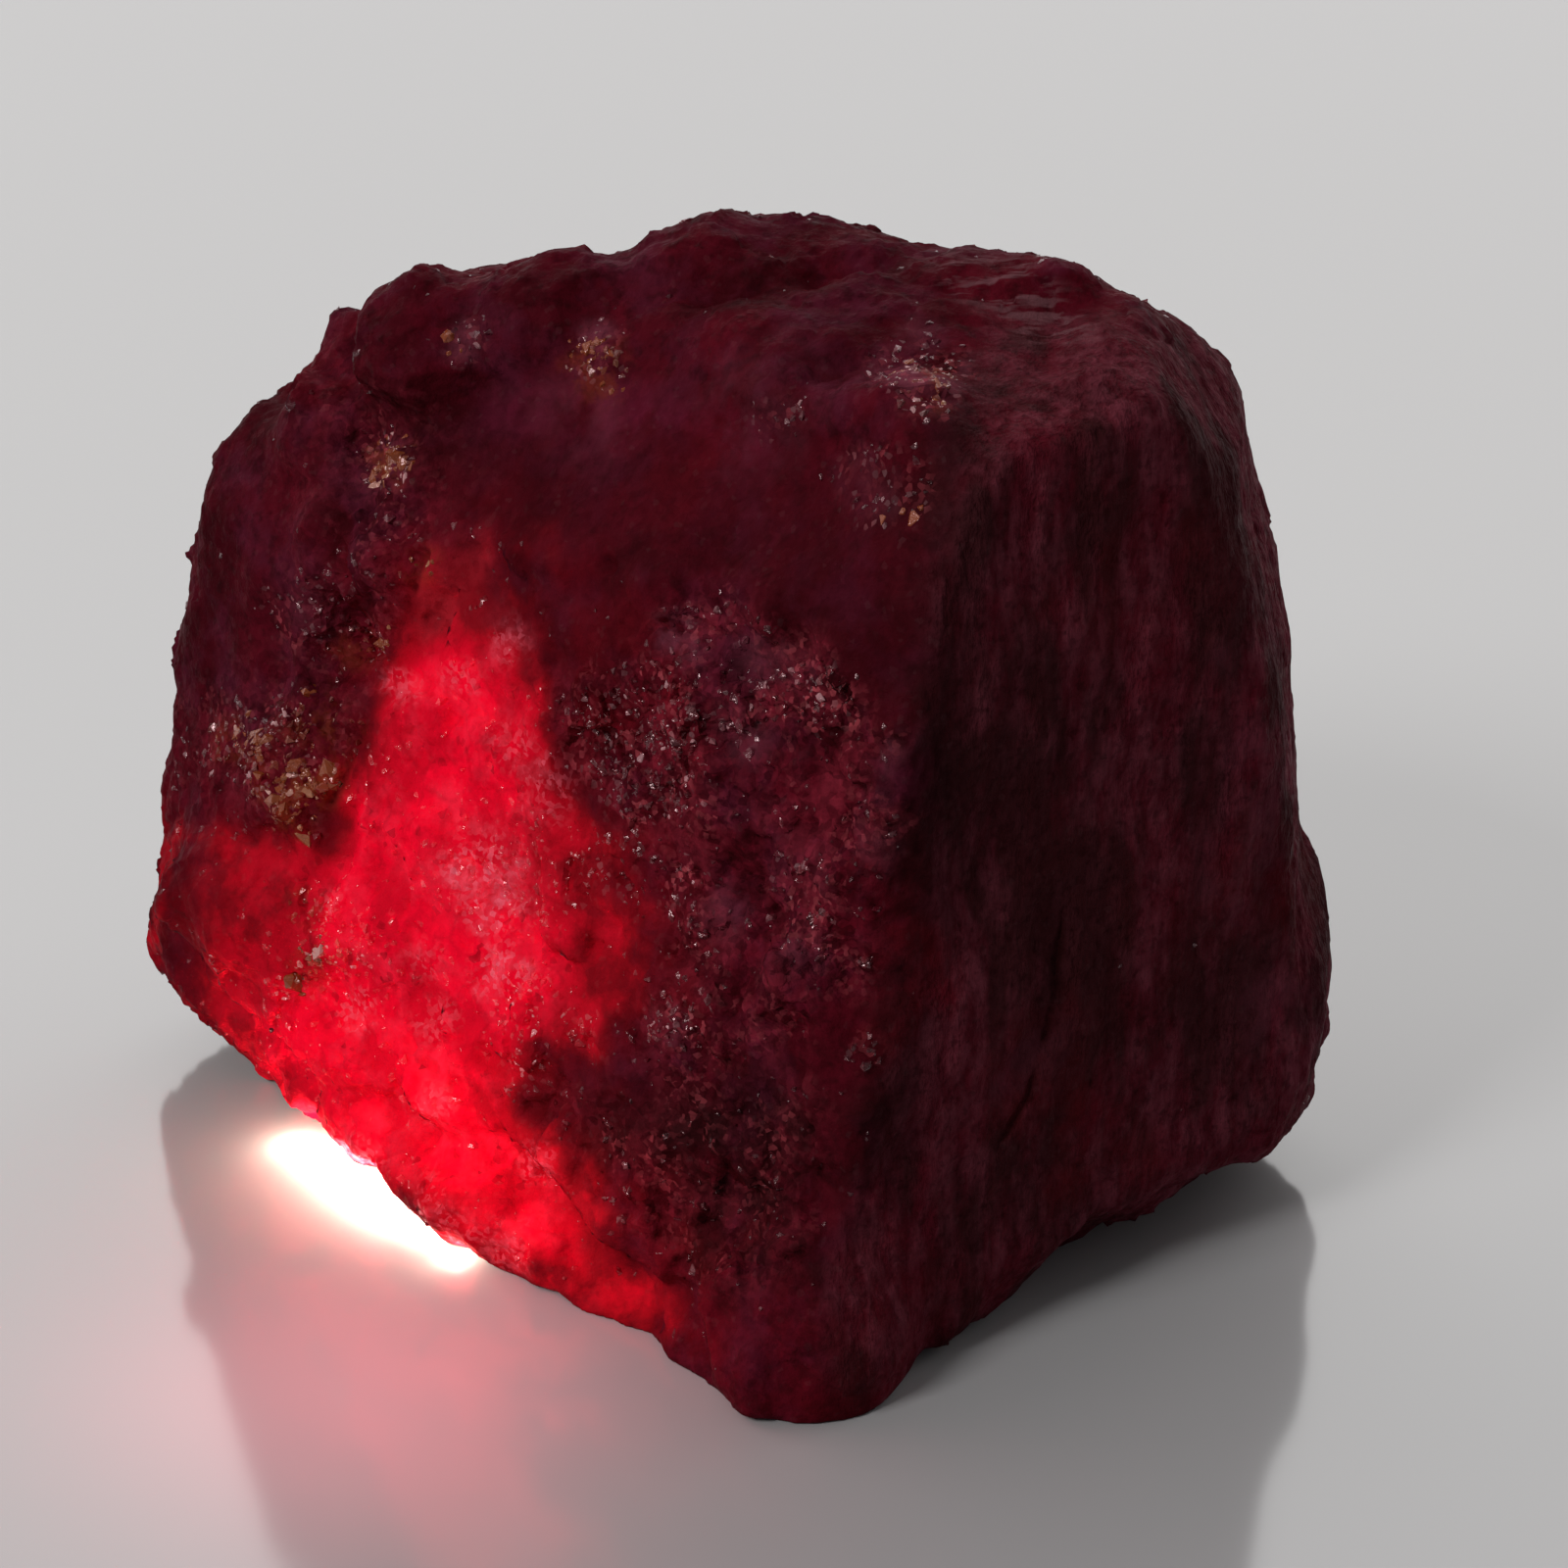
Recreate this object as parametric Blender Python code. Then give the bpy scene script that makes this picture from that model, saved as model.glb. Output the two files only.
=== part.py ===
# A rough ruby: one broken block of corundum, as dug, that rests on a flat parting face.
# Metres, +Z up, seen from the front along +Y. The origin is on the surface it rests on,
# under the middle of its bounding box.

import math

import bmesh
import bpy
import numpy as np
from mathutils import Euler, Matrix, Vector, noise

# Lengths below are in millimetres, and angles in degrees.
MM = 0.001
CORE = Vector((0.0, 8.0, 18.0))  # a point well inside the stone, from which its faces are set out
START_CUBE = 90.0
SINK = 1.5  # what is modelled below the resting face and cut off at the end
SHAPING_VOXEL = 0.55
SKIN_VOXEL = 0.5
TRIANGLES = 11400  # before the foot is cut off
LUMP_FINENESS = 2
HOLLOW_FINENESS = 4
WEAR_ROUNDS = 5

# The flat faces that bound the block: compass angle of the outward normal (0 is +X, 90 is +Y),
# its tilt above the horizon, and the distance of the face from the core.
FACES = {
    "right striated": (-54, 2, 15.2),
    "right end": (-10, 11, 19.0),
    "right end, low": (-14, -12, 22.9),
    "left granular": (230, 11, 8.9),
    "left smooth": (213, 8, 13.5),
    "left end": (180, 9, 21.4),
    "smooth break": (224, 36, 11.2),
    "top front slope": (228, 58, 16.3),
    "top": (-100, 79, 16.5),
    "left shoulder": (182, 45, 19.2),
    "top left": (170, 76, 17.4),
    "right shoulder": (-6, 66, 20.9),
    "right shoulder corner": (-10, 36, 21.0),
    "under left": (193, -60, 23.4),
    "under right": (-7, -66, 22.6),
    "right foot": (-45, -46, 22.1),
    "left foot": (216, -35, 19.9),
    "back": (84, 6, 16.5),
    "back left": (128, 8, 21.3),
    "back right": (38, 4, 17.0),
    "top back": (88, 66, 16.9),
    "top back left": (136, 54, 20.0),
    "top back right": (40, 55, 19.5),
}

# Lumps grown onto the block: middle, the three radii, and the turn about X, Y and Z.
LUMPS = {
    "top back": ((1.6, 12.6, 32.6), (5.6, 4.6, 3.3), (0, 6, 10)),
    "top back left end": ((-1.4, 12.0, 33.1), (2.8, 3.4, 3.2), (0, 0, 20)),
    "top left": ((-6.6, 12.2, 31.9), (3.8, 3.8, 2.9), (0, 0, 30)),
    "far top left": ((-11.2, 13.0, 31.3), (3.6, 3.2, 2.4), (0, -14, 60)),
    "left shoulder step": ((-15.6, 14.4, 27.6), (2.2, 2.6, 1.6), (0, -30, 15)),
    "right bulge": ((15.9, 8.4, 9.2), (6.2, 6.6, 6.6), (0, 0, 0)),
    "left corner": ((-13.2, 14.0, 9.0), (9.8, 7.4, 5.8), (0, 0, 0)),
    "front foot": ((2.2, -6.7, 2.2), (3.8, 3.8, 5.4), (0, 0, 20)),
    "front corner of the top": ((5.6, 0.4, 31.9), (3.6, 3.8, 2.6), (0, 10, 40)),
    "back, low": ((-8.0, 22.0, 11.0), (7.5, 4.4, 6.0), (10, 0, 0)),
    "back, high": ((6.0, 19.4, 25.0), (8.0, 5.6, 6.4), (0, 20, 0)),
}

# Hollows where a flake broke out, given in the same way.
HOLLOWS = {
    "smooth break": ((-4.4, -1.2, 33.0), (12.0, 6.4, 6.0), (40, 4, -38)),
    "back flake": ((6.0, 27.2, 15.0), (9.0, 4.2, 8.0), (-8, 14, 0)),
    "back left flake": ((-17.0, 24.0, 23.0), (7.0, 4.2, 8.0), (0, 0, 45)),
}

# Small forms, each set on the skin by a point near it.
# A knob stands up and a pit sinks in: the point, how wide it is and how high or deep.
KNOBS = {
    "left strip, upper": ((-12.6, 9.2, 27.9), 2.2, 1.3),
    "left strip, middle": ((-13.2, 8.2, 24.4), 2.2, 1.2),
    "left strip, lower": ((-16.8, 9.5, 15.1), 2.4, 1.4),
    "pale patch by the crack": ((-10.1, 6.4, 25.2), 1.9, 0.7),
    "pale plate": ((-2.3, -0.1, 25.0), 2.0, 0.5),
    "low left grain": ((-7.7, 0.5, 9.3), 1.4, 0.6),
    "low middle grain": ((-2.4, -3.4, 11.8), 1.5, 0.6),
    "top grain, left": ((-10.0, 8.8, 32.4), 1.7, 0.6),
    "top grain, middle": ((-5.5, 7.8, 32.4), 2.0, 0.7),
    "top grain, right": ((1.3, 2.6, 32.4), 2.0, 0.6),
    "lower left lump": ((-15.6, 6.4, 10.2), 2.0, 0.7),
    "front lobe": ((1.2, -8.4, 6.0), 2.4, 0.6),
}
PITS = {
    "left strip": ((-15.2, 9.4, 20.8), 2.8, 2.0),
    "above the pale plate": ((-1.2, -0.6, 28.0), 1.6, 0.5),
    "right shoulder": ((13.2, 7.7, 33.3), 1.6, 0.8),
    "left shoulder": ((-17.2, 16.6, 28.6), 2.6, 1.2),
    "dark corner under the ledge": ((-7.8, -0.1, 7.2), 2.0, 0.8),
    "beside the front lobe": ((5.6, -7.2, 9.0), 2.0, 0.5),
}

# Cracks and crests run along lines: the points, the width, and the depth or height.
CRACKS = {
    "left strip": (
        [(-9.0, 5.7, 25.9), (-11.2, 6.7, 22.5), (-13.6, 7.8, 19.0), (-14.8, 7.6, 14.0), (-15.8, 7.0, 10.6)],
        1.1,
        0.9,
    ),
    "right face": ([(10.6, -3.2, 16.6), (10.5, -3.4, 13.7), (10.0, -3.8, 11.6), (8.7, -4.8, 10.3)], 0.9, 0.7),
    "top, behind the slope": ([(-4.0, 9.0, 34.6), (1.0, 8.2, 35.0), (6.4, 9.4, 34.8)], 1.3, 0.8),
}
CRESTS = {
    "pale ridge": ([(5.2, -6.6, 23.9), (3.9, -6.6, 20.1), (2.0, -6.0, 15.8)], 1.5, 0.8),
    "rim of the smooth break": ([(-8.9, 5.4, 26.0), (-4.0, 1.4, 26.2), (-1.0, -1.0, 27.4), (2.9, -4.4, 26.6)], 1.2, 0.5),
    "left strip": ([(-14.6, 9.6, 29.4), (-15.4, 10.6, 25.0), (-16.8, 10.4, 19.0), (-17.8, 9.8, 14.0)], 1.5, 0.7),
    "low rim": ([(-16.6, 6.6, 2.9), (-12.6, 3.2, 2.2), (-8.0, -0.6, 1.8), (-3.6, -4.8, 1.6)], 1.4, 0.6),
}

# The ledge across the foot of the left face, which overhangs what is below it.
LEDGE = [(-20.4, 8.6, 5.9), (-17.0, 7.1, 4.9), (-13.1, 3.8, 5.2), (-8.5, 0.2, 5.9), (-7.1, -1.2, 5.1), (-4.9, -3.5, 3.2)]
LEDGE_DROP = 1.2
LEDGE_RUN = 3.0
LEDGE_LIP = 0.7

# Grain, streaks and swell: how wide and how high.
COARSE_GRAIN = (3.1, 0.62)
FINE_GRAIN = (1.7, 0.42)
STREAK_WIDTH = 1.3
STREAK_LENGTH = 5.5
STREAK_HEIGHT = 0.26
SWELL = (9.0, 0.5)
FACET_SLOPE = 2.2  # how steeply each grain's facet is tilted
GRAIN_OFFSET = 40.0  # keeps the fine grain from repeating the coarse
STRIP_WIDTH = 4.0  # the left strip is rougher than the rest
STRIP_EXTRA = 0.8
BACK_ROUGHNESS = 0.5  # the back is less broken than the front

# Directions of the faces that are streaked or smooth: compass angle, tilt, how closely the skin
# must agree with it for no effect and for the full effect, and the effect's share.
STREAKED = ((-54, 2, 0.80, 0.93, 1.0), (-8, 60, 0.80, 0.93, 0.8), (-20, 8, 0.80, 0.93, 0.85))
SMOOTH = ((228, 36, 0.93, 0.985, 1.0), (205, 8, 0.88, 0.96, 1.0))
BACK = (90, 0, 0.0, 0.5, 1.0)

RUBY = {"Base Color": (0.105, 0.012, 0.028, 1.0), "Roughness": 0.48, "Metallic": 0.0, "IOR": 1.77}


def unit(azimuth, tilt):
    """The direction at that compass angle and tilt."""
    a, t = math.radians(azimuth), math.radians(tilt)
    return Vector((math.cos(a) * math.cos(t), math.sin(a) * math.cos(t), math.sin(t)))


def placed(middle, turn):
    """The matrix that sets a form at its middle, turned, in metres."""
    spin = Euler([math.radians(angle) for angle in turn]).to_matrix().to_4x4()
    return Matrix.Translation(Vector(middle) * MM) @ spin


def add_ellipsoid(mesh, middle, radii, turn, fineness):
    """Adds a closed ellipsoid to the mesh, the more angular the lower its fineness."""
    matrix = placed(middle, turn) @ Matrix.Diagonal((*[radius * MM for radius in radii], 1.0))
    bmesh.ops.create_icosphere(mesh, subdivisions=fineness, radius=1.0, matrix=matrix)


def cut(mesh, point, normal):
    """Cuts away all that lies beyond the plane and closes the cut with a flat face."""
    geometry = mesh.verts[:] + mesh.edges[:] + mesh.faces[:]
    bmesh.ops.bisect_plane(mesh, geom=geometry, plane_co=point, plane_no=normal, clear_outer=True)
    bmesh.ops.holes_fill(mesh, edges=[edge for edge in mesh.edges if edge.is_boundary], sides=0)


def add_block(mesh):
    """The convex block that the flat faces bound."""
    bmesh.ops.create_cube(mesh, size=START_CUBE * MM)
    bmesh.ops.translate(mesh, verts=mesh.verts[:], vec=CORE * MM)
    for azimuth, tilt, distance in FACES.values():
        normal = unit(azimuth, tilt)
        cut(mesh, (CORE + normal * distance) * MM, normal)
    cut(mesh, Vector((0, 0, -SINK * MM)), Vector((0, 0, -1)))


def new_object(name, mesh):
    """Turns a bmesh into an object of the scene."""
    data = bpy.data.meshes.new(name)
    mesh.to_mesh(data)
    mesh.free()
    thing = bpy.data.objects.new(name, data)
    bpy.context.scene.collection.objects.link(thing)
    return thing


def settle(thing):
    """Applies the object's modifiers."""
    depsgraph = bpy.context.evaluated_depsgraph_get()
    data = bpy.data.meshes.new_from_object(thing.evaluated_get(depsgraph))
    thing.modifiers.clear()
    thing.data = data


def remesh(thing, voxel):
    """Fuses all that the object holds into one closed skin."""
    modifier = thing.modifiers.new("one skin", "REMESH")
    modifier.mode = "VOXEL"
    modifier.voxel_size = voxel * MM
    settle(thing)


def break_out(stone):
    """Takes the hollows out of the stone."""
    for name, (middle, radii, turn) in HOLLOWS.items():
        mesh = bmesh.new()
        add_ellipsoid(mesh, middle, radii, turn, HOLLOW_FINENESS)
        cutter = new_object(name + " cutter", mesh)
        modifier = stone.modifiers.new(name, "BOOLEAN")
        modifier.operation = "DIFFERENCE"
        modifier.solver = "EXACT"
        modifier.object = cutter
        settle(stone)
        bpy.data.objects.remove(cutter, do_unlink=True)


def wear(thing):
    """Wears the edges round."""
    modifier = thing.modifiers.new("worn edges", "SMOOTH")
    modifier.factor = 0.5
    modifier.iterations = WEAR_ROUNDS
    settle(thing)


def rise(value, low, high):
    """Goes smoothly from 0 at low to 1 at high."""
    t = np.clip((value - low) / (high - low), 0.0, 1.0)
    return t * t * (3.0 - 2.0 * t)


def bump(distance, width):
    """A rounded hill: 1 at no distance, 0 at the width."""
    return rise(-distance, -width, 0.0)


def facing(normals, azimuth, tilt, least, full, share):
    """How far each normal agrees with a direction, from 0 to the share."""
    return share * rise(normals @ np.array(unit(azimuth, tilt)), least, full)


def nearest_on_line(points, line):
    """The nearest place on a line of straight runs to each point."""
    best = np.full(len(points), np.inf)
    place = np.zeros_like(points)
    for start, end in zip(line, line[1:]):
        start, end = np.array(start), np.array(end)
        run = end - start
        share = np.clip((points - start) @ run / (run @ run), 0.0, 1.0)
        here = start + share[:, None] * run
        distance = np.linalg.norm(points - here, axis=1)
        nearer = distance < best
        best[nearer] = distance[nearer]
        place[nearer] = here[nearer]
    return best, place


def swell(points, width):
    """Smooth noise, from -1 to 1."""
    return np.array([noise.noise(Vector(point) / width) for point in points])


def grain(points, width):
    """Broken crystal: every cell of a Voronoi pattern is its own tilted, raised or sunk facet."""
    heights = []
    for point in points:
        place = Vector(point) / width
        middle = noise.voronoi(place)[1][0]
        chance = noise.cell_vector(middle * 7.3) - Vector((0.5, 0.5, 0.5))
        heights.append(FACET_SLOPE * chance.dot(place - middle) + chance.x)
    return np.array(heights)


def streaks(points):
    """Ridges that run up and down the right face, each with finer ones on it."""
    across = points @ np.array(unit(-54 + 90, 0)) / STREAK_WIDTH
    along = points[:, 2] / STREAK_LENGTH
    coarse = [noise.noise((x, 0.7, z)) for x, z in zip(across, along)]
    fine = [noise.noise((2.3 * x, 4.1, 2.0 * z)) for x, z in zip(across, along)]
    return np.array(coarse) + 0.5 * np.array(fine)


def small_forms(points):
    """How high the knobs, pits, cracks and crests leave the skin at each point."""
    height = np.zeros(len(points))
    for forms, sign in ((KNOBS, 1.0), (PITS, -1.0)):
        for place, width, size in forms.values():
            height += sign * size * bump(np.linalg.norm(points - np.array(place), axis=1), width)
    for forms, sign in ((CRESTS, 1.0), (CRACKS, -1.0)):
        for line, width, size in forms.values():
            height += sign * size * bump(nearest_on_line(points, line)[0], width)
    return height


def under_ledge(points):
    """How deep the skin is cut back under the ledge: sharp at its lip, and easing out below."""
    away, place = nearest_on_line(points, LEDGE)
    below = place[:, 2] - points[:, 2]
    recess = rise(below, 0.0, LEDGE_LIP) * (1.0 - rise(below, 0.5 * LEDGE_RUN, LEDGE_RUN))
    return LEDGE_DROP * recess * bump(np.maximum(away - LEDGE_RUN, 0.0), 0.5 * LEDGE_RUN)


def shape_skin(stone):
    """Moves the skin in or out by the small forms, the grain, the streaks and the swell."""
    data = stone.data
    points = np.empty(len(data.vertices) * 3)
    normals = np.empty(len(data.vertices) * 3)
    data.vertices.foreach_get("co", points)
    data.vertices.foreach_get("normal", normals)
    points = points.reshape(-1, 3) / MM
    normals = normals.reshape(-1, 3)

    streaked = np.max([facing(normals, *face) for face in STREAKED], axis=0)
    plain = np.max([facing(normals, *face) for face in SMOOTH], axis=0)
    strip = bump(nearest_on_line(points, CRESTS["left strip"][0])[0], STRIP_WIDTH)
    plain *= (1.0 - strip) * rise(points[:, 2], 8.0, 12.0)
    rough = (1.0 + STRIP_EXTRA * strip) * (1.0 - streaked) * (1.0 - plain)
    rough *= 1.0 - BACK_ROUGHNESS * facing(normals, *BACK)

    height = SWELL[1] * swell(points, SWELL[0])
    height += rough * COARSE_GRAIN[1] * grain(points, COARSE_GRAIN[0])
    height += rough * FINE_GRAIN[1] * grain(points + GRAIN_OFFSET, FINE_GRAIN[0])
    height += streaked * STREAK_HEIGHT * streaks(points)
    height += small_forms(points) - under_ledge(points)

    points += normals * height[:, None]
    data.vertices.foreach_set("co", (points * MM).ravel())
    data.update()


def thin_out(stone):
    """Brings the skin down to its number of triangles."""
    data = stone.data
    data.calc_loop_triangles()
    modifier = stone.modifiers.new("fewer faces", "DECIMATE")
    modifier.ratio = TRIANGLES / len(data.loop_triangles)
    settle(stone)


def rest_flat(stone):
    """Cuts the resting face flat and brings the origin under the middle of the stone."""
    mesh = bmesh.new()
    mesh.from_mesh(stone.data)
    cut(mesh, Vector((0, 0, 0)), Vector((0, 0, -1)))
    bmesh.ops.triangulate(mesh, faces=mesh.faces[:])
    low = Vector([min(vertex.co[i] for vertex in mesh.verts) for i in range(3)])
    high = Vector([max(vertex.co[i] for vertex in mesh.verts) for i in range(3)])
    middle = (low + high) / 2
    bmesh.ops.translate(mesh, verts=mesh.verts[:], vec=(-middle.x, -middle.y, 0))
    mesh.to_mesh(stone.data)
    mesh.free()
    print("size in mm", [round(value / MM, 2) for value in high - low])
    print("middle in mm", [round(value / MM, 2) for value in middle])


def colour(stone):
    """Gives the stone its dark, slightly waxy red."""
    material = bpy.data.materials.new("ruby")
    material.use_nodes = True
    shader = material.node_tree.nodes["Principled BSDF"]
    for name, value in RUBY.items():
        shader.inputs[name].default_value = value
    stone.data.materials.clear()
    stone.data.materials.append(material)


def main():
    for thing in list(bpy.data.objects):
        bpy.data.objects.remove(thing, do_unlink=True)
    mesh = bmesh.new()
    add_block(mesh)
    for middle, radii, turn in LUMPS.values():
        add_ellipsoid(mesh, middle, radii, turn, LUMP_FINENESS)
    stone = new_object("rough_ruby", mesh)
    remesh(stone, SHAPING_VOXEL)
    break_out(stone)
    remesh(stone, SKIN_VOXEL)
    wear(stone)
    shape_skin(stone)
    remesh(stone, SKIN_VOXEL)
    thin_out(stone)
    rest_flat(stone)
    colour(stone)


main()
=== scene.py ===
import math

import bpy
import numpy as np
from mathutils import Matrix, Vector, noise


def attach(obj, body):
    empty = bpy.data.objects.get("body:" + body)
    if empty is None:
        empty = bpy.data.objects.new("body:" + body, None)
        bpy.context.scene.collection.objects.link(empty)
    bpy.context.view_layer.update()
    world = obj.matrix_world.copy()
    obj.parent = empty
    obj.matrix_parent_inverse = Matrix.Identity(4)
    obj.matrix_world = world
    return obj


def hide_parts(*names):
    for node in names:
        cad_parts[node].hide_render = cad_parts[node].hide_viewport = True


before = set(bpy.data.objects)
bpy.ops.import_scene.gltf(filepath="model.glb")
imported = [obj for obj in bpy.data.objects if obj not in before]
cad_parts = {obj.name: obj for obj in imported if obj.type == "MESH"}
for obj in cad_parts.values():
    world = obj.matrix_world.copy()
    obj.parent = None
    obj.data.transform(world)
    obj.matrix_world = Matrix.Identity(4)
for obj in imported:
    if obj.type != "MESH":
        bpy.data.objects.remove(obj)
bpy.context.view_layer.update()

# Lengths in the settings are in millimetres, angles in degrees.
# The stone rests on z = 0 with its middle over the origin, and its front faces -Y.
mm = 0.001

# The front is painted from one fixed eye, where the camera stands too. Its marks are given
# in millimetres across and up, on a sheet through the middle of the stone that faces the eye.
front = {"eye": (2.34, -135.86, 78.67), "downward": 25.0, "toSheet": 140.0, "lens": 93.7}

zones = {
    "break": ((-13.9, 13.3), (-11.1, 13.6), (-8.1, 13.4), (-5.4, 13.4), (-2.7, 12.9), (0.0, 11.9),
              (2.0, 10.9), (4.2, 10.1), (5.2, 8.7), (5.0, 6.1), (4.4, 2.4), (2.4, 4.0), (0.0, 6.2),
              (-2.0, 6.9), (-4.7, 7.1), (-6.7, 6.7), (-8.2, 7.4), (-9.4, 8.7), (-11.1, 9.6),
              (-12.1, 10.8), (-13.1, 12.1)),
    "leftFace": ((-18.5, 12.6), (-15.8, 12.4), (-15.3, 10.1), (-15.8, 6.7), (-16.8, 3.7), (-18.8, 1.8),
                 (-20.3, 0.0), (-20.7, 3.4), (-20.5, 6.7), (-20.0, 10.1)),
    "sugar": ((-7.7, 3.9), (-4.4, 4.4), (-3.9, 6.2), (-2.0, 6.7), (0.0, 5.7), (1.9, 3.9), (3.7, 1.5),
              (4.4, -0.8), (3.4, -3.4), (2.4, -7.1), (0.0, -9.4), (-2.7, -10.4), (-5.4, -10.1),
              (-6.1, -8.7), (-4.4, -6.7), (-4.4, -4.4), (-5.4, -1.7), (-7.7, 0.7), (-8.2, 2.4)),
    "darkLow": ((-9.4, -10.6), (-6.1, -10.4), (-2.7, -10.8), (0.7, -9.4), (1.7, -11.8), (1.0, -15.1),
                (-1.3, -17.8), (-4.0, -16.5), (-6.1, -14.5), (-8.1, -12.1)),
    "streaked": ((7.1, 15.8), (10.1, 15.8), (14.8, 15.5), (19.0, 10.1), (21.0, 3.4), (22.0, -3.4),
                 (22.0, -12.0), (18.8, -16.0), (11.8, -17.0), (6.7, -20.0), (3.4, -22.2), (1.7, -20.2),
                 (2.0, -15.1), (3.4, -11.1), (4.4, -6.7), (4.9, -2.7), (5.0, 1.3), (5.2, 5.4),
                 (5.4, 9.4), (5.9, 12.8)),
    "topPale": ((5.9, 18.1), (8.1, 18.1), (10.4, 16.1), (11.1, 15.3), (8.7, 15.1), (6.7, 16.5),
                (4.7, 17.1)),
    "purple": ((-10.1, 13.6), (-8.1, 13.7), (-5.4, 13.4), (-2.7, 12.9), (-0.3, 12.1), (-0.7, 11.1),
               (-3.4, 11.6), (-6.1, 11.9), (-8.7, 12.1), (-10.4, 12.6)),
    "strip": ((-15.3, 14.3), (-13.4, 12.4), (-12.1, 10.8), (-11.6, 9.4), (-12.3, 8.0), (-12.9, 5.9),
              (-13.4, 4.5), (-14.0, 2.8), (-14.4, 1.8), (-15.0, 0.3), (-15.7, -1.1), (-15.8, -1.9),
              (-17.1, -2.1), (-19.2, -1.5), (-20.5, -1.0), (-20.2, 2.0), (-16.8, 3.7), (-15.8, 6.7),
              (-15.3, 10.1), (-15.6, 12.4)),
    "dullEnd": ((-16.8, -2.2), (-16.7, -3.5), (-16.3, -4.7), (-16.2, -5.9), (-17.1, -6.7),
                (-18.2, -6.8), (-18.6, -8.1), (-19.8, -8.7), (-21.5, -7.1), (-21.8, -5.0),
                (-21.3, -1.7), (-19.2, -1.3), (-17.1, -1.9)),
    "knob": ((-12.3, 8.0), (-11.9, 9.1), (-11.1, 9.4), (-10.1, 8.9), (-9.6, 7.4), (-9.2, 5.4),
             (-10.4, 5.0), (-11.6, 5.4), (-12.4, 4.5), (-12.9, 5.9)),
    "core": ((-14.0, 2.8), (-13.4, 4.5), (-12.1, 4.9), (-10.8, 5.2), (-9.1, 5.0), (-8.6, 3.4),
             (-8.5, 0.7), (-8.3, -2.0), (-7.6, -4.4), (-7.1, -6.2), (-7.7, -8.1), (-8.9, -9.4),
             (-9.7, -10.6), (-8.6, -12.4), (-6.7, -14.8), (-6.5, -17.1), (-8.7, -16.5), (-11.4, -14.6),
             (-14.5, -13.3), (-16.8, -11.6), (-18.3, -9.6), (-18.3, -8.1), (-18.0, -6.9),
             (-16.8, -6.7), (-16.1, -5.9), (-16.3, -4.7), (-16.6, -3.5), (-15.7, -2.0), (-15.0, 0.3),
             (-14.4, 1.8)),
    "halo": ((-12.4, 7.9), (-10.1, 8.1), (-8.8, 5.4), (-8.3, 3.4), (-7.6, 0.5), (-6.2, -1.6),
             (-4.6, -4.2), (-4.9, -6.7), (-6.1, -8.7), (-8.1, -9.9), (-9.6, -10.6), (-7.4, -12.8),
             (-5.4, -15.8), (-4.0, -18.3), (-6.1, -19.0), (-9.4, -16.8), (-15.1, -14.1),
             (-18.8, -11.1), (-20.8, -8.1), (-21.8, -5.4), (-21.3, -1.7), (-17.1, -1.7), (-15.5, -1.7),
             (-14.1, 3.4)),
}
lines = {
    "darkEdge": ((5.9, 13.4), (5.4, 9.4), (5.2, 5.4), (5.0, 1.3), (4.9, -3.4), (4.4, -6.7),
                 (3.4, -10.6), (2.0, -13.6)),
    "leftCrack": ((-16.5, -6.7), (-16.2, -5.7), (-16.5, -3.9), (-15.8, -1.9), (-15.7, -1.1),
                  (-15.0, 0.3), (-14.4, 1.8), (-14.0, 2.8), (-13.4, 4.5), (-12.9, 5.9), (-12.3, 8.0)),
    "rightCrack": ((9.6, -4.4), (9.1, -8.1), (8.4, -10.8), (6.9, -13.1)),
}
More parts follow.
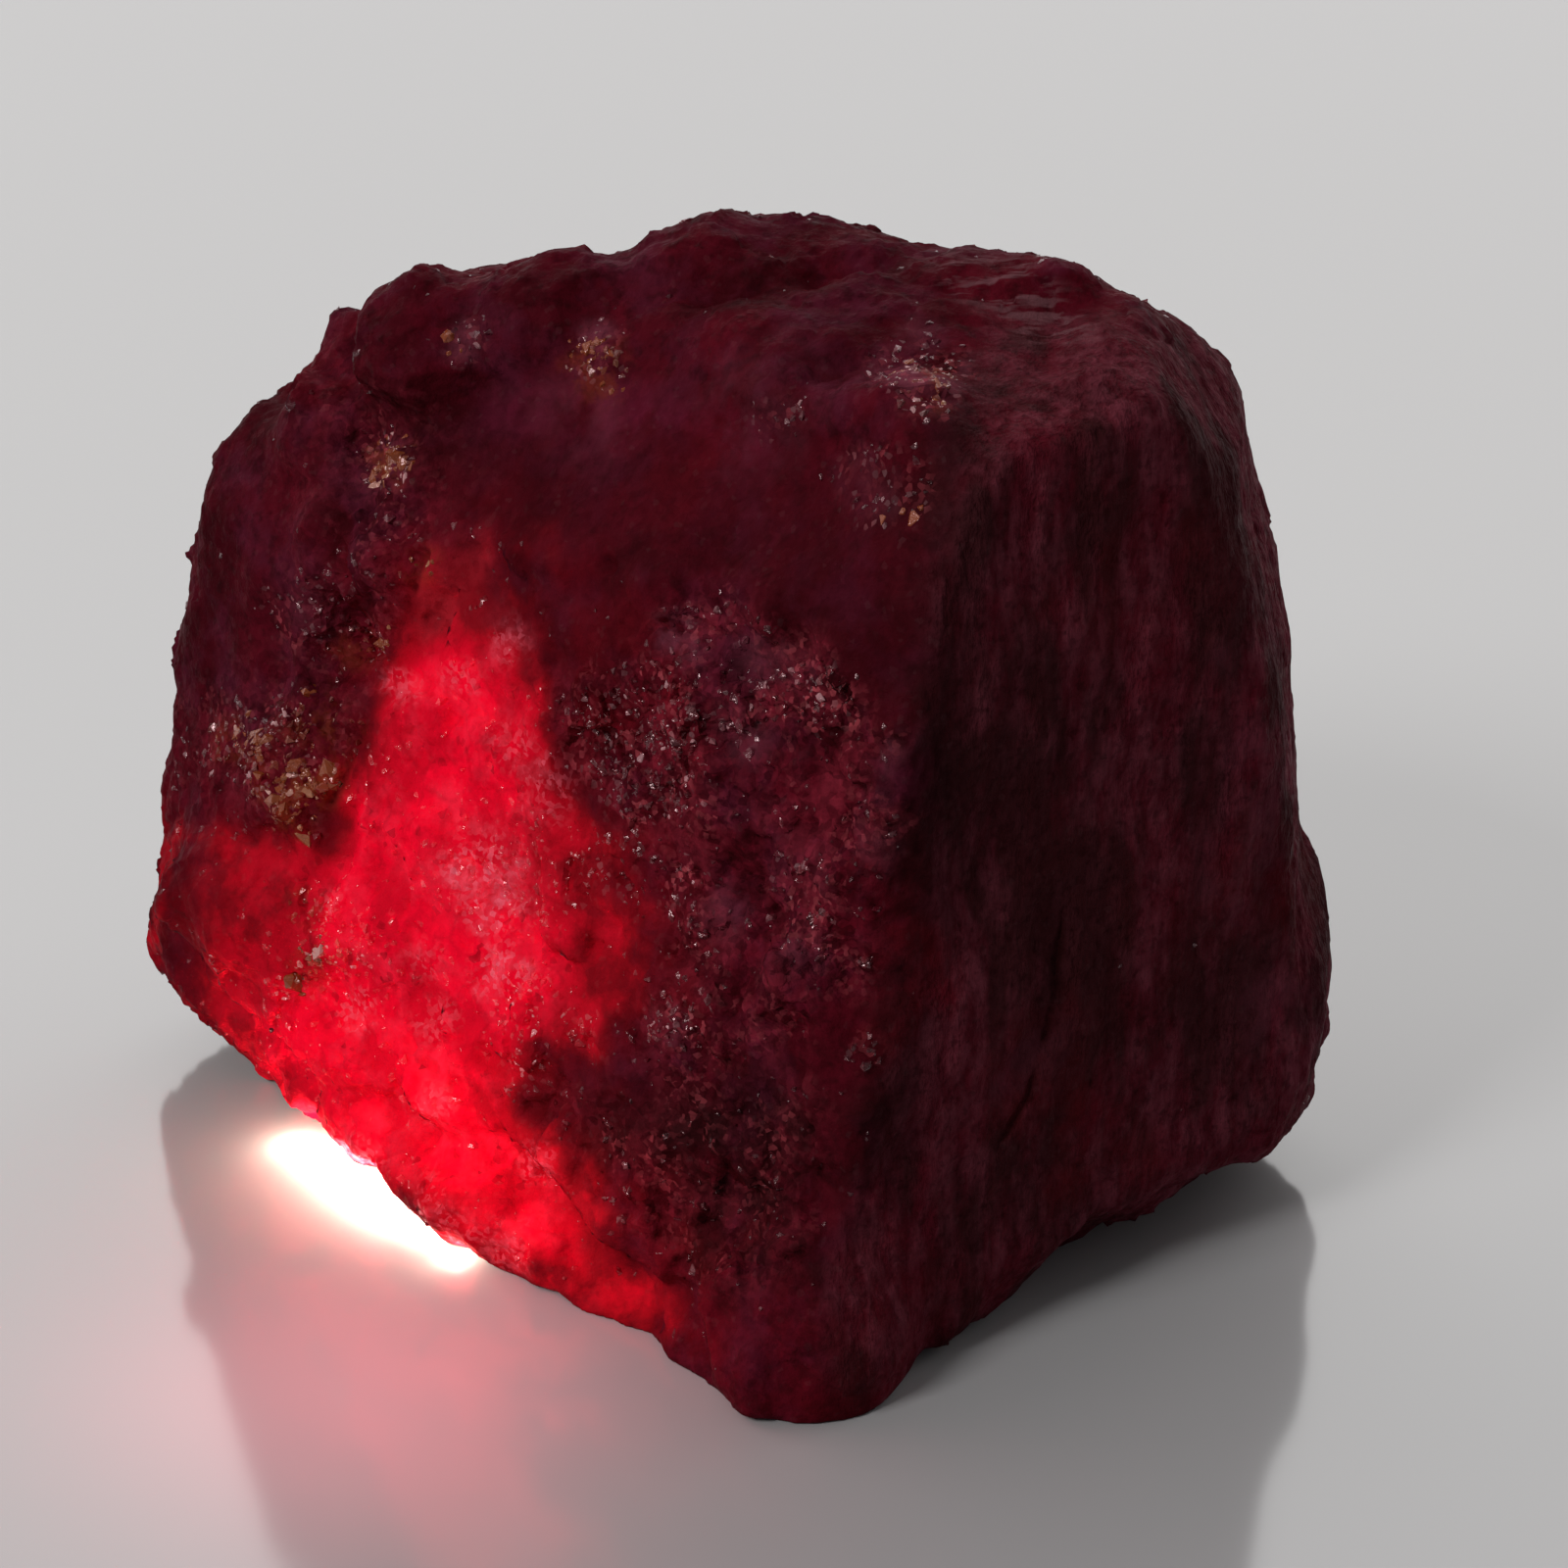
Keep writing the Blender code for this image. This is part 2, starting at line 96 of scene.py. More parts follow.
# across, up, radius, strength
spots = {
    "rust": ((-13.4, 11.0, 0.9, 0.7), (-16.6, -0.4, 1.5, 0.8), (-15.6, 2.0, 1.5, 0.5),
             (-16.4, -4.3, 0.8, 0.5), (-16.2, -6.0, 0.9, 0.7), (-18.6, 1.4, 0.9, 0.4),
             (-12.4, 7.5, 0.7, 0.5), (5.0, 13.6, 1.0, 0.4), (-6.6, 14.2, 1.2, 0.5),
             (-14.6, 4.6, 0.9, 0.4)),
    "amber": ((-16.9, -0.4, 1.1, 1.0), (-16.0, 0.0, 0.8, 1.0), (-16.4, -1.2, 0.6, 0.8),
              (-13.4, 11.1, 0.8, 1.0), (-13.8, 10.4, 0.6, 0.8), (-16.3, -5.7, 0.6, 0.9),
              (-16.8, -7.1, 0.5, 0.7), (-12.4, 7.2, 0.5, 0.7), (-13.9, 5.0, 0.5, 0.8),
              (-16.1, 3.4, 0.5, 0.6), (-6.6, 14.8, 0.8, 1.0), (-7.2, 15.1, 0.5, 0.8),
              (-6.1, 13.9, 0.7, 0.6), (-11.4, 15.3, 0.6, 0.7), (-10.6, 15.0, 0.5, 0.7),
              (4.7, 14.8, 0.9, 0.5), (5.5, 13.4, 0.7, 0.6), (1.0, -9.7, 0.7, 0.5),
              (4.2, 9.4, 0.5, 0.4), (-18.7, 2.0, 0.9, 0.6)),
    "pink": ((-10.4, -2.7, 1.3, 1.0), (-10.1, -4.4, 1.2, 1.0), (-9.9, -6.2, 1.1, 0.9),
             (-8.1, 0.0, 1.2, 0.6), (-9.4, 1.0, 1.0, 0.5), (-13.1, 3.4, 0.8, 0.7),
             (-11.1, 3.7, 0.8, 0.5), (-12.4, -6.1, 0.8, 0.5), (-12.1, -8.1, 0.8, 0.5),
             (-8.7, -13.1, 0.8, 0.6), (-12.1, -11.1, 0.9, 0.5), (-14.5, -7.7, 0.9, 0.7),
             (-12.4, -15.1, 1.4, 0.6), (-14.8, -13.0, 1.4, 0.7), (-9.4, 5.0, 0.8, 0.6),
             (-15.5, -3.9, 0.6, 0.5), (-9.8, -16.0, 1.4, 0.5)),
    "pale": ((-3.5, 5.1, 1.0, 1.0), (-6.6, 15.2, 0.9, 0.8), (-11.1, 15.2, 0.9, 0.7),
             (4.9, 14.3, 1.5, 0.8), (2.9, 10.4, 1.2, 0.2), (-14.0, 10.9, 1.3, 0.5),
             (-16.6, 5.2, 1.4, 0.35), (0.6, -6.1, 1.2, 0.4), (-3.9, -8.4, 0.8, 0.6),
             (-10.6, -3.2, 2.2, 0.35), (3.5, 0.6, 1.4, 0.6), (-1.0, 12.9, 2.4, 0.22),
             (-1.0, 1.6, 1.5, 0.5), (2.3, -3.1, 1.6, 0.45), (-1.6, -4.2, 1.4, 0.35),
             (-0.4, 3.9, 1.2, 0.4), (-7.2, 12.7, 2.0, 0.25), (16.4, 0.5, 2.2, 0.35),
             (16.2, 5.4, 1.8, 0.3), (16.8, -8.0, 2.2, 0.3), (16.2, -3.2, 2.2, 0.25),
             (8.6, -9.6, 2.0, 0.2)),
    "reddish": ((-17.5, -0.6, 2.2, 0.9), (-15.2, 2.0, 1.8, 1.0), (-14.2, 5.0, 1.2, 0.8),
                (-5.4, 2.4, 2.6, 0.9), (-4.4, -1.6, 2.4, 0.7), (-3.6, -6.0, 2.0, 0.7),
                (3.7, -6.4, 2.4, 0.8), (10.8, -12.4, 2.2, 0.6), (3.9, -18.4, 3.4, 0.45),
                (8.4, -9.8, 2.6, 0.4), (16.3, -3.4, 2.8, 0.4), (2.6, -21.2, 2.6, 0.5),
                (-15.9, 14.8, 1.8, 0.7), (-3.0, 10.4, 3.0, 0.4), (-5.6, 0.2, 3.0, 0.8),
                (-6.4, 5.4, 2.6, 0.8), (12.0, 7.0, 3.4, 0.3), (13.6, -4.0, 3.0, 0.25)),
    # where glints cluster: more crystals and flat-shaded faces there, and painted glints and pale crumbs
    "sparkle": ((-5.2, 1.4, 2.6, 0.8), (-1.2, 2.3, 1.3, 0.8), (1.3, 2.8, 1.2, 0.7),
                (-5.8, -2.7, 1.4, 0.7), (-3.5, -3.5, 1.1, 0.8), (1.0, -5.2, 1.1, 0.9),
                (-3.8, -8.2, 0.9, 1.0), (-2.3, -4.8, 0.8, 0.5), (0.2, -3.1, 0.8, 0.5),
                (2.7, -9.1, 0.6, 0.5), (-6.0, -11.8, 0.5, 0.5), (-2.8, 5.6, 1.0, 0.4),
                (-17.6, 1.2, 2.2, 0.8), (-16.6, 5.9, 1.5, 0.7), (-14.2, 4.9, 0.8, 0.8),
                (-13.5, 10.9, 1.2, 1.0), (-11.0, 15.2, 1.0, 0.8), (-6.6, 14.9, 1.1, 0.9),
                (4.9, 14.0, 1.5, 0.9), (3.6, 10.4, 1.8, 0.45), (-15.6, -5.4, 2.0, 0.8),
                (-8.6, -8.2, 1.8, 0.7), (-0.2, 12.8, 0.9, 0.5), (-9.8, -3.4, 2.2, 0.4)),
    "pit": ((-6.1, 7.5, 0.36, 1.0), (-12.5, 7.7, 0.3, 0.8), (-9.6, 4.0, 0.2, 0.4)),
}
# Where the marks fade in. Each pair is the value where one begins and the value where it is full.
edges = {
    "turned": (0.0, 0.12),              # how far a face turns to the eye
    "forward": (-16.0, -9.0),           # how far forward it lies
    "wobbles": ((2.2, 1.0, 3.0), (0.8, 0.5, 8.0)),      # width, height, seed of the uneven edges
    "patches": (5.0, 21.0, (-0.1, 0.25)),               # width, seed and ends of those out of sight
    "rightWay": (-20, 8),               # azimuth and tilt that the right end faces
    "rightTurned": (0.55, 0.80),
    "rightFrom": (9.0, 13.0),
    "darkEdge": (-2.3, -0.2),           # less than 0 is away from the line
    "crack": (-0.20, 0.02),
    "crackOpen": (-0.5, 0.1),           # so the cracks come and go along their lines
    "spot": (-1.25, -0.35),             # in radii away from the middle
    "spotUneven": 0.65,
    "pitUneven": 0.35,
}
# The clear red zone, whose glow is painted: emission and a brighter red base colour stand for the light from
# below that shines through
paintedGlow = {
    # zone, share of the light, where it begins and is full inside the outline, unevenness
    "parts": (("halo", 0.22, -5.0, 0.5, 1.2), ("halo", 0.29, -0.8, 1.2, 0.9),
              ("core", 0.49, -0.6, 1.8, 0.6)),
    "stripSoftness": (0.25, 3.25),      # at the left crack, and away from it
    "crackReach": (0.8, 3.4),           # how far from the crack it softens
    "stripUp": (-2.5, 4.0),             # low and high on the strip
    "stripLoss": (0.35, 0.75),          # light lost low down on the dull strip, and high up
    "endLoss": (0.42, 0.78),            # light lost on the dull left end, and at its edge
    "endOut": (18.4, 21.0),             # how far to the left
    "knobLoss": 0.50,
}


def rise(value, low, high):
    # smoothly from 0 at low to 1 at high
    share = np.clip((value - low) / (high - low), 0.0, 1.0)
    return share * share * (3.0 - 2.0 * share)


def fromTo(ends, share):
    return ends[0] + (ends[1] - ends[0]) * share


def direction(azimuth, tilt):
    # azimuth 0 is +X and 90 is +Y, tilt is the height above the horizon
    turn, height = math.radians(azimuth), math.radians(tilt)
    level = math.cos(height)
    return np.array((math.cos(turn) * level, math.sin(turn) * level, math.sin(height)))


def noiseAt(points, width, seed=0.0):
    shift = Vector((seed, seed * 1.7, -seed))
    return np.array([noise.noise(Vector(point) / width + shift) for point in points])


def onSheet(points):
    # where the sight line from the eye to each point crosses the sheet
    downward = math.radians(front["downward"])
    away = points - np.array(front["eye"])
    depth = away @ np.array((0.0, math.cos(downward), -math.sin(downward)))
    up = away @ np.array((0.0, math.sin(downward), math.cos(downward)))
    return np.stack((away[:, 0], up), axis=1) / depth[:, None] * front["toSheet"]


def towardFront(normals):
    downward = math.radians(front["downward"])
    return normals @ np.array((0.0, -math.cos(downward), math.sin(downward)))


def distanceToLine(places, line):
    best = np.full(len(places), np.inf)
    for start, end in zip(line, line[1:]):
        start, end = np.array(start), np.array(end)
        run = end - start
        share = np.clip((places - start) @ run / (run @ run), 0.0, 1.0)
        best = np.minimum(best, np.linalg.norm(places - start - share[:, None] * run, axis=1))
    return best


def depthInside(places, outline):
    # how far inside the outline each place lies, less than 0 outside it
    closed = outline + outline[:1]
    inside = np.zeros(len(places), bool)
    for (x0, y0), (x1, y1) in zip(closed, closed[1:]):
        if y0 != y1:
            crosses = (places[:, 1] < y0) != (places[:, 1] < y1)
            inside ^= crosses & (places[:, 0] < x0 + (places[:, 1] - y0) / (y1 - y0) * (x1 - x0))
    return np.where(inside, 1.0, -1.0) * distanceToLine(places, closed)


def strongest(places, marks, wobble):
    best = np.zeros(len(places))
    for across, up, radius, strength in marks:
        away = np.linalg.norm(places - np.array((across, up)), axis=1) / radius
        best = np.maximum(best, strength * rise(-away + wobble, *edges["spot"]))
    return best


def stripShare(places, wobble):
    # the dull strip stops sharply at the left crack and softly elsewhere
    awayFromCrack = rise(distanceToLine(places, lines["leftCrack"]), *paintedGlow["crackReach"])
    soft = fromTo(paintedGlow["stripSoftness"], awayFromCrack)
    return rise((depthInside(places, zones["strip"]) + 0.3 * wobble) / soft, -1.0, 1.0)


def glowShare(places, wobble, strip, knob):
    # the painted glow fills the core, dies away in the halo and is dimmed on the strip, end and knob
    glow = np.zeros(len(places))
    for name, share, begins, full, uneven in paintedGlow["parts"]:
        glow += share * rise(depthInside(places, zones[name]) + uneven * wobble, begins, full)
    end = rise(depthInside(places, zones["dullEnd"]) + 0.5 * wobble, -0.3, 0.6)
    upStrip = rise(places[:, 1] + 0.8 * wobble, *paintedGlow["stripUp"])
    toEdge = rise(-places[:, 0] + 0.6 * wobble, *paintedGlow["endOut"])
    glow = np.minimum(glow, 1.0 - fromTo(paintedGlow["stripLoss"], upStrip) * strip)
    glow = np.minimum(glow, 1.0 - fromTo(paintedGlow["endLoss"], toEdge) * end)
    return np.minimum(glow, 1.0 - paintedGlow["knobLoss"] * knob)


def crackShare(places, wobble):
    away = np.minimum(*(distanceToLine(places, lines[name]) for name in ("leftCrack", "rightCrack")))
    return rise(-away + 0.16 * wobble, *edges["crack"]) * rise(wobble, *edges["crackOpen"])


def zoneMasks(points, normals):
    places = onSheet(points)
    wobble = sum(height * noiseAt(points, width, seed) for width, height, seed in edges["wobbles"])
    width, seed, ends = edges["patches"]
    patches = rise(noiseAt(points, width, seed) + 0.4 * wobble, *ends)
    seen = rise(towardFront(normals), *edges["turned"]) * rise(-points[:, 1], *edges["forward"])
    rightEnd = rise(normals @ direction(*edges["rightWay"]), *edges["rightTurned"])
    rightEnd *= rise(points[:, 0], *edges["rightFrom"])
    backAndLeft = (1.0 - seen) * (1.0 - rightEnd)

    def zone(name, soft, uneven=0.5):
        return seen * rise(depthInside(places, zones[name]) + uneven * wobble, -soft, soft)

    strip = stripShare(places, wobble)
    edge = seen * rise(-distanceToLine(places, lines["darkEdge"]) + 0.8 * wobble, *edges["darkEdge"])
    masks = {
        "streaked": np.maximum(zone("streaked", soft=0.8), (1.0 - seen) * rightEnd),
        "even": np.maximum.reduce((
            zone("break", soft=0.8, uneven=0.8), 0.8 * zone("leftFace", soft=0.8),
            0.7 * backAndLeft * patches)),
        "sugar": np.maximum.reduce((
            zone("sugar", soft=0.8, uneven=0.9), 0.8 * zone("darkLow", soft=0.7, uneven=0.7),
            0.8 * seen * strip, 0.8 * backAndLeft * (1.0 - patches))),
        "dark": np.maximum(0.92 * zone("darkLow", soft=1.4, uneven=1.6), 0.75 * edge),
        "topPale": zone("topPale", soft=0.5),
        # the concave break, where shade is painted
        "hollowShade": zone("break", soft=1.4, uneven=0.8),
        "purple": zone("purple", soft=0.8),
        "knob": zone("knob", soft=0.4),
        "crack": seen * crackShare(places, wobble),
    }
    # the painted glow, which stands for light from below that shines through
    masks["glow"] = seen * glowShare(places, wobble, strip, masks["knob"])
    for name, marks in spots.items():
        uneven = edges["pitUneven"] if name == "pit" else edges["spotUneven"]
        masks[name] = seen * strongest(places, marks, uneven * wobble)
    return masks


# The skin
skin = {
    "step": 0.175,                  # size of its first faces
    "faces": 190000,
    "wear": (0.5, 10),              # factor and rounds of the smoothing that wears the facets off
    # width, height, height in the sugary zones, seed
    "grains": ((2.3, 0.15, 0.22, 11.0), (1.05, 0.085, 0.210, 23.0), (0.52, 0.040, 0.075, 37.0)),
    "facetSlope": 2.2,
    "tallest": 1.0,                 # no facet stands out more than this many heights
    "calmed": {"streaked": 0.6, "even": 0.85},      # how much of the grain these zones lose
    "brokenGlow": 0.7,
    "streakAzimuth": 36,            # the streaked face runs this way
    "streaks": ((0.60, 1.6, 0.7), (1.4, 4.6, 1.0)),     # width, length, share
    "streakHeight": 0.10,
    "streakLeast": 0.15,            # share of the streaks on the other faces
    "swell": (2.6, 0.06),           # width, height
    "crackDepth": 0.24,
    "pitDepth": 0.45,
    "flatBand": 0.4,                # the relief dies away this near the resting face
    "flatShadedFrom": 0.30,         # sparkle above which the faces are shaded flat
}


def selectOnly(thing):
    bpy.ops.object.select_all(action="DESELECT")
    thing.select_set(True)
    bpy.context.view_layer.objects.active = thing


def copyOfStone():
    selectOnly(bpy.data.objects["rough_ruby"])
    bpy.ops.object.duplicate()
    ruby = bpy.context.object
    ruby.name = "ruby_skin"
    bpy.ops.object.mode_set(mode="EDIT")
    bpy.ops.mesh.select_all(action="SELECT")
    bpy.ops.mesh.remove_doubles(threshold=0.000001)
    bpy.ops.object.mode_set(mode="OBJECT")
    return ruby


def applied(thing, kind, **settings):
    modifier = thing.modifiers.new(kind.lower(), kind)
    for name, value in settings.items():
        setattr(modifier, name, value)
    selectOnly(thing)
    bpy.ops.object.modifier_apply(modifier=modifier.name)


def pointsAndNormals(thing):
    count = len(thing.data.vertices)
    points, normals = np.empty(count * 3), np.empty(count * 3)
    thing.data.vertices.foreach_get("co", points)
    thing.data.vertices.foreach_get("normal", normals)
    return points.reshape(-1, 3) / mm, normals.reshape(-1, 3)


def trianglesOf(mesh):
    mesh.calc_loop_triangles()
    triangles = np.empty(len(mesh.loop_triangles) * 3, int)
    mesh.loop_triangles.foreach_get("vertices", triangles)
    return triangles.reshape(-1, 3)


def brokenGrain(points, width, seed):
    # every cell is its own tilted facet, raised or sunk by chance
    heights = np.empty(len(points))
    for i, point in enumerate(points):
        place = Vector(point) / width + Vector((seed, seed, seed))
        middle = noise.voronoi(place)[1][0]
        chance = noise.cell_vector(middle * 7.3) - Vector((0.5, 0.5, 0.5))
        heights[i] = skin["facetSlope"] * chance.dot(place - middle) + chance.x
    return np.clip(heights, -skin["tallest"], skin["tallest"])


def streakHeights(points):
    across = points @ direction(skin["streakAzimuth"], 0)
    heights = np.zeros(len(points))
    for shift, (width, length, share) in zip((0.0, 4.1), skin["streaks"]):
        heights += share * np.array([noise.noise((x / width, shift + y * 0.2, z / length))
                                     for x, y, z in zip(across, points[:, 1], points[:, 2])])
    return heights


def reliefHeights(points, masks):
    grainShare = np.ones(len(points))
    for name, loss in skin["calmed"].items():
        grainShare *= 1.0 - loss * masks[name]
    broken = np.maximum(masks["sugar"], skin["brokenGlow"] * masks["glow"])
    height = np.zeros(len(points))
    for width, usual, sugary, seed in skin["grains"]:
        height += grainShare * fromTo((usual, sugary), broken) * brokenGrain(points, width, seed)
    streaked = np.maximum(masks["streaked"], skin["streakLeast"])
    height += streaked * skin["streakHeight"] * streakHeights(points)
    swellWidth, swellHeight = skin["swell"]
    height += swellHeight * noiseAt(points, swellWidth)
    height -= skin["crackDepth"] * masks["crack"] + skin["pitDepth"] * masks["pit"]
    return height * rise(points[:, 2], 0.0, skin["flatBand"])


def keepMasks(thing, masks):
    for name, values in masks.items():
        layer = thing.data.attributes.new(name, "FLOAT", "POINT")
        layer.data.foreach_set("value", values)


def makeSkin():
    ruby = copyOfStone()
    factor, rounds = skin["wear"]
    applied(ruby, "REMESH", mode="VOXEL", voxel_size=skin["step"] * mm)
    applied(ruby, "SMOOTH", factor=factor, iterations=rounds)
    points, normals = pointsAndNormals(ruby)
    points += normals * reliefHeights(points, zoneMasks(points, normals))[:, None]
    points[:, 2] = np.maximum(points[:, 2], 0.0)
    ruby.data.vertices.foreach_set("co", (points * mm).ravel())
    ruby.data.update()
    applied(ruby, "DECIMATE", ratio=skin["faces"] / len(trianglesOf(ruby.data)))
    masks = zoneMasks(*pointsAndNormals(ruby))
    keepMasks(ruby, masks)
    flat = masks["sparkle"] > skin["flatShadedFrom"]
    for face in ruby.data.polygons:
        face.use_smooth = not flat[face.vertices[0]]
    ruby.data.materials.clear()
    ruby.data.materials.append(rubyMaterial("ruby", gloss=0.004, roughest=0.65, smoothest=0.40))
    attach(ruby, "root")
    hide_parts("rough_ruby")
    print("skin:", len(ruby.data.polygons), "faces")
    return ruby


# The small crystals that stand in the broken places
crystals = {
    "count": 4200,
    "size": (0.11, 0.34),       # half their length
    "amberCount": 170,
    "amberSize": (0.15, 0.60),
    "mostlySmall": 2.2,         # power that keeps most of them near the small size
    "sunk": 0.64,               # share of the size that they stand under the skin
    "kinds": 6,
    "shape": (0.75, 0.95, 1.25),
    "jitter": (0.72, 1.12),
    "thinly": 0.012,            # chance away from the zones below
    "chances": {"sugar": 0.12, "sparkle": 1.2, "glow": 0.10},
    "rareOnStreaked": 0.93,
    "rareOnEven": 0.9,
    "bareFoot": (0.4, 1.0),     # none under the first height, all above the second
    # the amber ones keep this share of the painted red glow
    "amberGlow": 0.3,           # share of the red light in the amber ones
    "seed": 7,
}


def crystalKinds(random):
    # one small faceted crystal, pulled into a few different shapes
    kinds = []
    for _ in range(crystals["kinds"]):
        bpy.ops.object.select_all(action="DESELECT")
        bpy.ops.mesh.primitive_ico_sphere_add(subdivisions=1, radius=1.0)
        crystal = bpy.context.object
        bpy.ops.object.mode_set(mode="EDIT")
        bpy.ops.mesh.select_all(action="SELECT")
        bpy.ops.transform.resize(value=crystals["shape"])
        bpy.ops.object.mode_set(mode="OBJECT")
        corners = np.array([vertex.co for vertex in crystal.data.vertices])
        corners *= random.uniform(*crystals["jitter"], corners.shape)
        faces = np.array([tuple(face.vertices) for face in crystal.data.polygons])
        kinds.append((corners, faces))
        bpy.data.objects.remove(crystal)
    return kinds


def crystalSpots(ruby, random):
    # the places on the skin where the crystals stand, the amber ones last, and its normals there
    points, normals = pointsAndNormals(ruby)
    triangles = trianglesOf(ruby.data)
    corners = points[triangles]
    middles = corners.mean(axis=1)
    areas = np.linalg.norm(np.cross(corners[:, 1] - corners[:, 0], corners[:, 2] - corners[:, 0]), axis=1)

    def mask(name):
        values = np.empty(len(points))
        ruby.data.attributes[name].data.foreach_get("value", values)
        return values[triangles[:, 0]]

    share = np.full(len(triangles), crystals["thinly"])
    for name, chance in crystals["chances"].items():
        share += chance * mask(name)
    share *= 1.0 - crystals["rareOnStreaked"] * mask("streaked")
    share *= 1.0 - crystals["rareOnEven"] * mask("even") * (1.0 - mask("sparkle"))
    share *= areas * rise(middles[:, 2], *crystals["bareFoot"])
    amber = mask("amber") ** 2 * areas
    chosen = np.concatenate((
        random.choice(len(triangles), crystals["count"], p=share / share.sum()),
        random.choice(len(triangles), crystals["amberCount"], p=amber / amber.sum())))
    return middles[chosen], normals[triangles[chosen, 0]]


def randomTurns(random, count):
    turns = random.normal(size=(count, 4))
    w, x, y, z = (turns / np.linalg.norm(turns, axis=1)[:, None]).T
    return np.stack((
        1 - 2 * (y * y + z * z), 2 * (x * y - z * w), 2 * (x * z + y * w),
        2 * (x * y + z * w), 1 - 2 * (x * x + z * z), 2 * (y * z - x * w),
        2 * (x * z - y * w), 2 * (y * z + x * w), 1 - 2 * (x * x + y * y)), axis=1).reshape(-1, 3, 3)


def makeCrystals(ruby):
    random = np.random.default_rng(crystals["seed"])
    kinds = crystalKinds(random)
    places, outward = crystalSpots(ruby, random)
    count = len(places)
    isAmber = np.arange(count) >= crystals["count"]
    low, high = np.where(isAmber[:, None], crystals["amberSize"], crystals["size"]).T
    sizes = low + (high - low) * random.random(count) ** crystals["mostlySmall"]
    places = places - outward * (sizes * crystals["sunk"])[:, None]
    turns = randomTurns(random, count)
    kind = random.integers(0, crystals["kinds"], count)
    allCorners, allFaces, first = [], [], 0
    for place, turn, size, k in zip(places, turns, sizes, kind):
        corners, faces = kinds[k]
        allCorners.append(corners @ turn.T * size + place)
        allFaces.append(faces + first)
        first += len(corners)
    mesh = bpy.data.meshes.new("ruby_crystals")
    mesh.from_pydata((np.concatenate(allCorners) * mm).tolist(), [], np.concatenate(allFaces).tolist())
    piece = bpy.data.objects.new("ruby_crystals", mesh)
    bpy.context.collection.objects.link(piece)
    masks = zoneMasks(places, outward)
    masks["chance"] = random.random(count)
    masks["rust"] = np.where(isAmber, 1.0, masks["rust"])
    masks["glow"] = np.where(isAmber, crystals["amberGlow"] * masks["glow"], masks["glow"])
    cornersOfEach = [len(kinds[k][0]) for k in kind]
    keepMasks(piece, {name: np.repeat(values, cornersOfEach) for name, values in masks.items()})
    mesh.materials.append(rubyMaterial(
        "ruby crystal", gloss=0.45, roughest=0.22, smoothest=0.05, tint=(1.0, 0.72, 0.74), lone=True))
    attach(piece, "root")
    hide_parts("rough_ruby")
    print("crystals:", len(mesh.polygons), "faces")


# The ruby's finish. Colours are linear.
finish = {
    "maroon": (0.0460, 0.0026, 0.0056),
    "wine": (0.0920, 0.0040, 0.0105),
    "plum": (0.0880, 0.0105, 0.0255),
    "violet": (0.1200, 0.0088, 0.0260),
    "speck": (0.0180, 0.0025, 0.0035),
    "blotch": (0.1600, 0.0125, 0.0235),
    "streakBrown": (0.0820, 0.0084, 0.0148),
    "streakPale": (0.1450, 0.0270, 0.0405),
    "streakDark": (0.0340, 0.0080, 0.0090),
    # pale strokes on the top, partly a dusting and partly painted sheen
    "dustAndSheen": (0.1500, 0.0580, 0.0680),
    "darkEdge": (0.0200, 0.0044, 0.0052),
    "reddish": (0.1300, 0.0040, 0.0090),
    # pale crumbs, partly painted glints
    "crumbAndGlint": (0.5000, 0.0780, 0.0980),
    # colours of the painted glow, from its dim edge to its bright core, with its flaws, knob and veins
    "deepRed": (0.1100, 0.0020, 0.0060),
    "dullRed": (0.3300, 0.0040, 0.0105),
    "red": (0.8400, 0.0025, 0.0220),
    "pinkRed": (0.9000, 0.0300, 0.0700),
    "sugarPink": (0.8600, 0.1200, 0.1750),
    "orange": (0.3400, 0.0125, 0.0215),
    "vein": (0.1800, 0.0025, 0.0060),
    "rust": (0.2300, 0.0330, 0.0110),
    "amber": (0.3000, 0.0660, 0.0190),
    "cream": (0.6600, 0.3200, 0.1600),
    "pale": (0.2300, 0.0480, 0.0780),
    # pale pink of the painted glints
    "paintedGlint": (0.8200, 0.4400, 0.4700),
    "crack": (0.0280, 0.0040, 0.0040),
    # strength of the painted glow's emission
    "paintedGlowStrength": 0.30,
}
# waves per metre, detail, and the values where the pattern begins and is full
patterns = {
    "wine": (190.0, 3.0, 0.40, 0.62),
    "plum": (330.0, 4.0, 0.47, 0.66),
    "speck": (1500.0, 3.0, 0.50, 0.66),
    "violet": (420.0, 3.0, 0.38, 0.62),
    "fineStreaks": (1500.0, 4.0, 0.40, 0.62),
    "streakWine": (240.0, 4.0, 0.50, 0.68),
    "streakDark": (210.0, 5.0, 0.49, 0.58),
    "streakSpeck": (2600.0, 2.0, 0.54, 0.64),
    "dustAndSheen": (2300.0, 3.0, 0.48, 0.60),
    "blotch": (520.0, 4.0, 0.44, 0.60),
    "clusters": (480.0, 3.0, 0.47, 0.62),
    "clots": (300.0, 5.0, 0.57, 0.43),
    "flaws": (620.0, 5.0, 0.48, 0.68),
    "stain": (900.0, 3.0, 0.46, 0.60),
    "clumps": (430.0, 4.0),         # each layer that uses it sets its own limits
}
# angle and scale of the patterns that are drawn out one way
drawnOut = {"alongStreaks": (54, (1, 1, 0.38)), "downhill": (20.05, (0.20, 1, 1))}
# cells per metre, which give single grains and veins their places
cellScales = {
    "grains": 1500.0, "small": 3400.0, "crumbs": 5000.0, "veins": 720.0, "facets": 2000.0,
}
# the relief that is only shading
relief = {
    "onFacets": 0.15,           # share of the small facets outside the sugary zones
    "facetDepth": 0.65,
    "dullScale": 3000.0,        # waves per metre
    "dullShare": 0.17,
    "strength": 0.8,
    "depth": 0.6,
}
